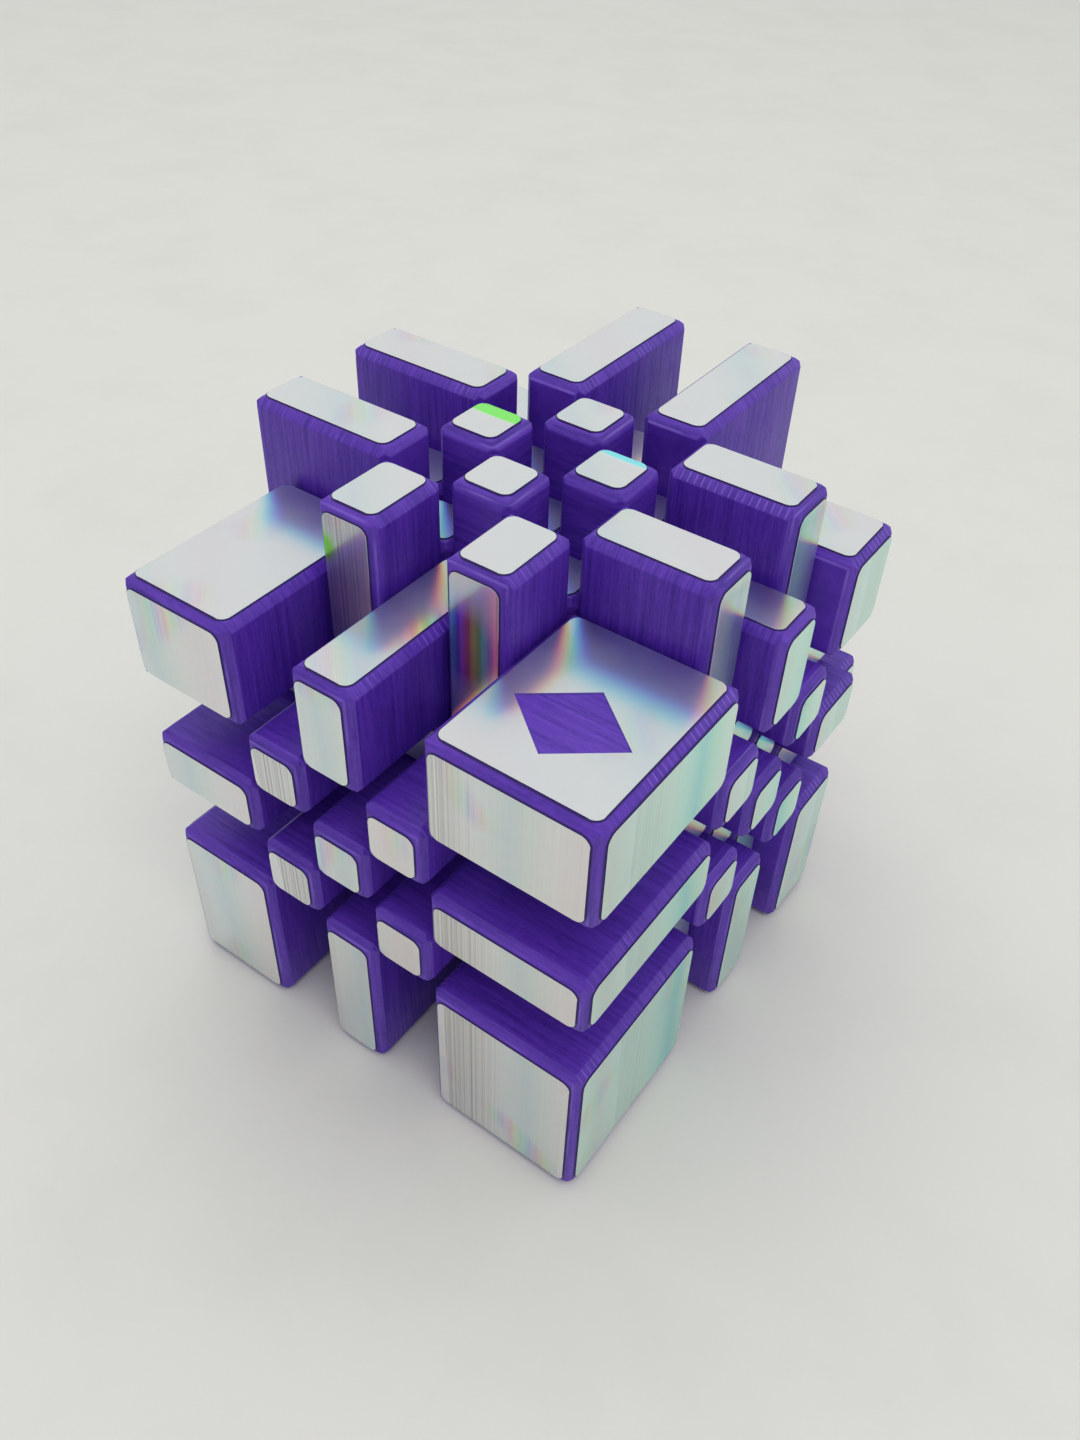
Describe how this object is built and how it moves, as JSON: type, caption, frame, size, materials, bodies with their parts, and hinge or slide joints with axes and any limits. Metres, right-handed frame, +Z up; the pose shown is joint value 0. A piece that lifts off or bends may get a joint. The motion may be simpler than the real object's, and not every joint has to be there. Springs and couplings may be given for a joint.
{
  "type": "mirror block cube puzzle",
  "caption": "Twisty puzzle of violet blocks with silver foil faces that stand out by different amounts, in a checkerboard pattern.",
  "frame": {"origin": "centre of the core, where all turning axes meet, which is the centre of the whole puzzle's box in this pattern", "axes": "+Z up along the turning axis of the layers, -Y towards the front face, whose blocks stand out furthest"},
  "size_m": [0.0988, 0.1128, 0.1052],
  "materials": {
    "printed_plastic": "deep violet printed plastic, satin, with fine layer lines",
    "inner_plastic": "deep violet printed plastic, unpolished, worn smooth on running faces",
    "foil": "silver rainbow foil, bright, with soft coloured streaks",
    "core": "black moulded plastic",
    "steel": "zinc-plated steel"
  },
  "bodies": {
    "middle_slice": {"core_spider": "core", "core_screws": "steel", "core_springs": "steel", "core_washers": "steel", "middle_inner_centres": "inner_plastic", "middle_inner_edges": "inner_plastic", "middle_centre_tubes": "inner_plastic", "middle_centre_caps": "printed_plastic", "middle_t_centres": "printed_plastic", "middle_midges": "printed_plastic", "middle_stickers": "foil"},
    "upper_slice": {"upper_inner_centre": "inner_plastic", "upper_inner_edges": "inner_plastic", "upper_inner_corners": "inner_plastic", "upper_t_centres": "printed_plastic", "upper_x_centres": "printed_plastic", "upper_wings": "printed_plastic", "upper_stickers": "foil"},
    "lower_slice": {"lower_inner_centre": "inner_plastic", "lower_inner_edges": "inner_plastic", "lower_inner_corners": "inner_plastic", "lower_t_centres": "printed_plastic", "lower_x_centres": "printed_plastic", "lower_wings": "printed_plastic", "lower_stickers": "foil"},
    "top_layer": {"top_centre_tube": "inner_plastic", "top_centre_cap": "printed_plastic", "top_t_centres": "printed_plastic", "top_x_centres": "printed_plastic", "top_midges": "printed_plastic", "top_wings": "printed_plastic", "top_corners": "printed_plastic", "top_face_stickers": "foil", "top_side_stickers": "foil"},
    "bottom_layer": {"bottom_centre_tube": "inner_plastic", "bottom_centre_cap": "printed_plastic", "bottom_t_centres": "printed_plastic", "bottom_x_centres": "printed_plastic", "bottom_midges": "printed_plastic", "bottom_wings": "printed_plastic", "bottom_corners": "printed_plastic", "bottom_face_stickers": "foil", "bottom_side_stickers": "foil"}
  },
  "joints": [
    {"name": "top_layer_turn", "type": "hinge", "parent": "middle_slice", "child": "top_layer", "pos_m": [0, 0, 0], "axis": [0, 0, 1], "continuous": true},
    {"name": "upper_slice_turn", "type": "hinge", "parent": "middle_slice", "child": "upper_slice", "pos_m": [0, 0, 0], "axis": [0, 0, 1], "continuous": true},
    {"name": "lower_slice_turn", "type": "hinge", "parent": "middle_slice", "child": "lower_slice", "pos_m": [0, 0, 0], "axis": [0, 0, 1], "continuous": true},
    {"name": "bottom_layer_turn", "type": "hinge", "parent": "middle_slice", "child": "bottom_layer", "pos_m": [0, 0, 0], "axis": [0, 0, 1], "continuous": true}
  ]
}
